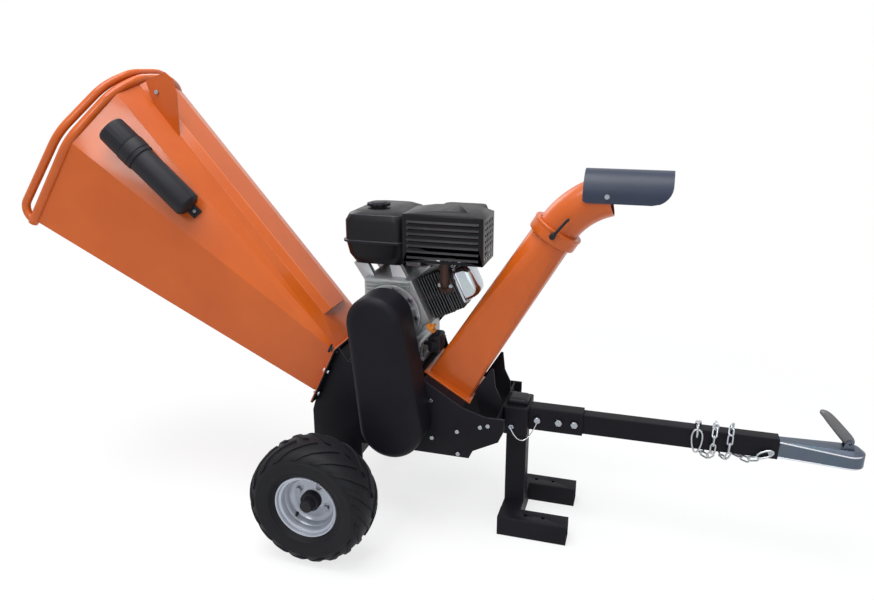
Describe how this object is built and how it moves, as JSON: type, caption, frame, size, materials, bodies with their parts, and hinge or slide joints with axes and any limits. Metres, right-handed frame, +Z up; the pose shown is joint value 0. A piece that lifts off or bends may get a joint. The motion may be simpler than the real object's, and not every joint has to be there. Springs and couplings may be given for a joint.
{
  "type": "wood chipper",
  "caption": "Towable petrol garden shredder: sloping feed hopper, belt-driven drum rotor, swivelling discharge chute, wheels, parking stand and ball-coupler tow bar.",
  "frame": {"origin": "on the ground under the middle of the machine's length and width", "axes": "+X from the hopper mouth to the tow coupler, +Y to the far side, +Z up"},
  "size_m": [2.3791, 0.865, 1.3224],
  "materials": {
    "orange_paint": "gloss orange powder coat",
    "black_paint": "black powder coat",
    "steel": "zinc plated or ground steel",
    "cast_alu": "cast",
    "black_iron": "heat-proof black",
    "rim_paint": "silver paint",
    "tyre": "black rubber",
    "belt": "rubber",
    "black_plastic": "moulded",
    "smoke_plastic": "dark blue-grey",
    "cap_plastic": "orange",
    "tank_paint": "gloss black"
  },
  "bodies": {
    "chassis": {"side_plates": "black_paint", "housing_shell": "black_paint", "engine_deck": "black_paint", "front_box": "black_paint", "axle": "black_paint", "belt_guard": "black_paint", "guard_back": "black_paint", "v_belts": "belt", "bearings": "black_iron", "counter_knife": "steel", "hopper_body": "orange_paint", "hopper_cover": "orange_paint", "rim_tube": "orange_paint", "guard_tube": "orange_paint", "bolts": "steel", "doc_tube": "black_plastic", "chute": "orange_paint", "swivel_collar": "orange_paint", "crankcase": "cast_alu", "side_cover": "cast_alu", "cylinder_barrel": "black_iron", "cylinder_head": "black_iron", "rocker_cover": "steel", "muffler": "black_iron", "muffler_guard": "black_paint", "fuel_tank": "tank_paint", "air_cleaner": "black_plastic", "carburettor": "cast_alu", "recoil_housing": "black_paint", "control_box": "black_plastic", "stand": "black_paint", "tow_bar": "black_paint", "coupler": "steel", "safety_chain": "steel"},
    "near_wheel": {"near_tyre": "tyre", "near_rim": "rim_paint", "near_hub_cap": "black_plastic"},
    "far_wheel": {"far_tyre": "tyre", "far_rim": "rim_paint", "far_hub_cap": "black_plastic"},
    "rotor": {"rotor_shaft": "steel", "rotor_drum": "steel", "knives": "steel", "rotor_pulley": "black_iron"},
    "crank": {"crankshaft": "steel", "drive_pulley": "black_iron"},
    "spout": {"elbow": "orange_paint"},
    "flap": {"deflector": "smoke_plastic"},
    "clamp_lever": {"clamp_lever": "black_plastic"},
    "throat_handle": {"throat_handle": "black_plastic"},
    "coupler_lever": {"coupler_lever": "steel"},
    "ball_clamp": {"ball_clamp": "steel"},
    "fuel_cap": {"fuel_cap": "black_plastic"},
    "oil_cap": {"oil_cap": "cap_plastic"},
    "doc_cap": {"doc_cap": "black_plastic"},
    "throttle_lever": {"throttle_lever": "black_plastic"},
    "choke_lever": {"choke_lever": "black_plastic"},
    "fuel_tap": {"fuel_tap": "black_plastic"},
    "engine_switch": {"engine_switch": "black_plastic"},
    "hitch_pin": {"hitch_pin": "steel"}
  },
  "joints": [
    {"name": "near_wheel_spin", "type": "hinge", "parent": "chassis", "child": "near_wheel", "pos_m": [-0.22561, -0.36, 0.1775], "axis": [0, 1, 0], "continuous": true},
    {"name": "far_wheel_spin", "type": "hinge", "parent": "chassis", "child": "far_wheel", "pos_m": [-0.22561, 0.36, 0.1775], "axis": [0, 1, 0], "continuous": true},
    {"name": "rotor_spin", "type": "hinge", "parent": "chassis", "child": "rotor", "pos_m": [-0.04361, 0, 0.358], "axis": [0, 1, 0], "continuous": true},
    {"name": "crank_spin", "type": "hinge", "parent": "chassis", "child": "crank", "pos_m": [-0.08561, 0, 0.64], "axis": [0, 1, 0], "continuous": true},
    {"name": "spout_swivel", "type": "hinge", "parent": "chassis", "child": "spout", "pos_m": [0.3505, 0, 0.87246], "axis": [0.5225, 0, 0.8526], "continuous": true},
    {"name": "deflector_tilt", "type": "hinge", "parent": "spout", "child": "flap", "pos_m": [0.49384, 0, 0.99865], "axis": [0, 1, 0], "range_deg": [0, 60]},
    {"name": "clamp_lever_turn", "type": "hinge", "parent": "chassis", "child": "clamp_lever", "pos_m": [0.362, -0.076, 0.89122], "axis": [0, 1, 0], "range_deg": [0, 90]},
    {"name": "throat_handle_turn", "type": "hinge", "parent": "chassis", "child": "throat_handle", "pos_m": [-0.24119, -0.148, 0.53048], "axis": [0.9048, 0, -0.4259], "range_deg": [0, 90]},
    {"name": "coupler_lever_turn", "type": "hinge", "parent": "chassis", "child": "coupler_lever", "pos_m": [1.15439, 0, 0.373], "axis": [0, 1, 0], "range_deg": [-40, 30]},
    {"name": "ball_clamp_slide", "type": "slide", "parent": "chassis", "child": "ball_clamp", "axis": [1, 0, 0], "range_m": [-0.0025, 0.0035]},
    {"name": "fuel_cap_turn", "type": "hinge", "parent": "chassis", "child": "fuel_cap", "pos_m": [-0.15761, 0.016, 0.9493], "axis": [0, 0, 1], "range_deg": [0, 90]},
    {"name": "oil_cap_turn", "type": "hinge", "parent": "chassis", "child": "oil_cap", "pos_m": [-0.00561, -0.104, 0.565], "axis": [0.6691, 0, 0.7431], "range_deg": [0, 180]},
    {"name": "doc_cap_turn", "type": "hinge", "parent": "chassis", "child": "doc_cap", "pos_m": [-0.85551, -0.2278, 1.15412], "axis": [0.7093, 0.0701, -0.7014], "range_deg": [0, 180]},
    {"name": "throttle_turn", "type": "hinge", "parent": "chassis", "child": "throttle_lever", "pos_m": [0.00039, 0.1643, 0.702], "axis": [0, 1, 0], "range_deg": [-30, 30]},
    {"name": "choke_turn", "type": "hinge", "parent": "chassis", "child": "choke_lever", "pos_m": [0.07639, 0.1363, 0.78], "axis": [0, 1, 0], "range_deg": [-40, 0]},
    {"name": "fuel_tap_turn", "type": "hinge", "parent": "chassis", "child": "fuel_tap", "pos_m": [0.07639, 0.1363, 0.746], "axis": [0, 1, 0], "range_deg": [0, 90]},
    {"name": "engine_switch_turn", "type": "hinge", "parent": "chassis", "child": "engine_switch", "pos_m": [0.04039, -0.0903, 0.56], "axis": [0, 1, 0], "range_deg": [0, 60]},
    {"name": "hitch_pin_slide", "type": "slide", "parent": "chassis", "child": "hitch_pin", "axis": [0, -1, 0], "range_m": [0, 0.09]}
  ],
  "couplings": [
    {"joint": "crank_spin", "follows": "rotor_spin", "ratio": 1.5814},
    {"joint": "ball_clamp_slide", "follows": "coupler_lever_turn", "m_per_rad": -0.0043}
  ]
}
